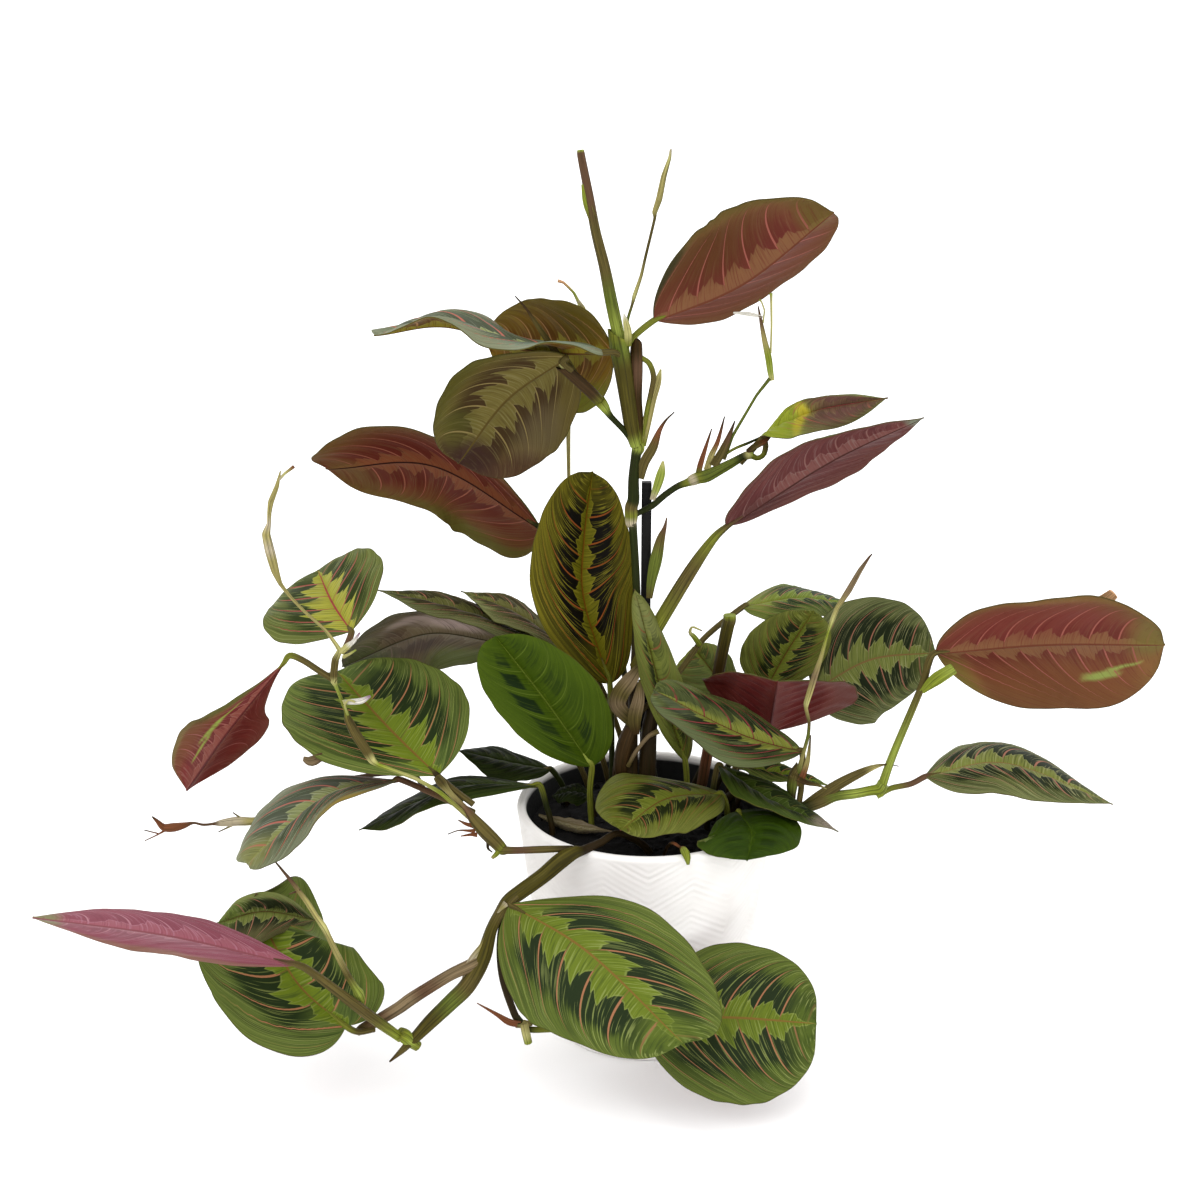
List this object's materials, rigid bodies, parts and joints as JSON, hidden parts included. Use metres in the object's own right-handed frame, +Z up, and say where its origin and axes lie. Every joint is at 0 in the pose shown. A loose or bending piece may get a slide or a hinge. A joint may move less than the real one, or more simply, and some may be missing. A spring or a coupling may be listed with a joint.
{
  "type": "potted prayer plant",
  "caption": "Prayer plant with broad patterned oval leaves on jointed stems, in a round tapered pot with a grooved chevron relief, for a shelf or table.",
  "frame": {"origin": "centre of the flat underside of the pot", "axes": "+Z up along the axis of the pot; -Y towards the front of the plant as seen in the picture; +X to its right"},
  "size_m": [0.5202, 0.2348, 0.4412],
  "materials": {
    "ceramic": "matte",
    "soil": "matte",
    "black_plastic": "satin",
    "green_stem": "satin",
    "green_leaf": "satin",
    "olive_leaf": "satin",
    "dark_leaf": "satin",
    "red_leaf": "satin",
    "mauve_leaf": "satin",
    "brown_stem": "matte",
    "pale_stalk": "satin"
  },
  "bodies": {
    "root": {"pot": "ceramic", "soil": "soil", "stick": "black_plastic", "main_stem": "green_stem", "cut_stem": "brown_stem", "left_stem": "green_stem", "right_stem": "green_stem", "flower_stalk_left": "pale_stalk", "flower_stalk_top": "pale_stalk", "flower_stalk_right": "pale_stalk", "flower_stalk_far_right": "pale_stalk", "flower_stalk_back": "pale_stalk", "dried_stalk": "brown_stem", "flower_stalk_low": "pale_stalk", "leaf_top_right": "red_leaf", "leaf_upper_left": "green_leaf", "leaf_behind_top": "olive_leaf", "leaf_round": "olive_leaf", "leaf_left_red": "red_leaf", "leaf_centre": "olive_leaf", "leaf_green_plain": "green_leaf", "leaf_left_striped": "green_leaf", "leaf_far_left": "green_leaf", "leaf_hanging_red": "mauve_leaf", "leaf_purple_grey": "mauve_leaf", "leaf_folded_left": "dark_leaf", "leaf_folded_middle": "dark_leaf", "leaf_low_striped": "green_leaf", "leaf_dark_low": "dark_leaf", "leaf_dark_rim": "dark_leaf", "leaf_rolled_pink": "mauve_leaf", "leaf_rolled_tip": "green_leaf", "leaf_front": "green_leaf", "leaf_lower_right": "green_leaf", "leaf_rim": "olive_leaf", "leaf_right_plain": "green_leaf", "leaf_back_far": "dark_leaf", "leaf_back_right": "green_leaf", "leaf_back_middle": "olive_leaf", "leaf_back_small": "green_leaf", "leaf_red_arched": "mauve_leaf", "leaf_right_striped": "dark_leaf", "leaf_narrow_centre": "olive_leaf", "leaf_far_right": "red_leaf", "leaf_right_pointed": "green_leaf", "leaf_twisted": "mauve_leaf", "leaf_narrow_mauve": "mauve_leaf", "leaf_striped_long": "dark_leaf", "leaf_striped_upper": "dark_leaf", "leaf_pot_small": "dark_leaf", "dry_bract": "mauve_leaf"}
  },
  "joints": []
}
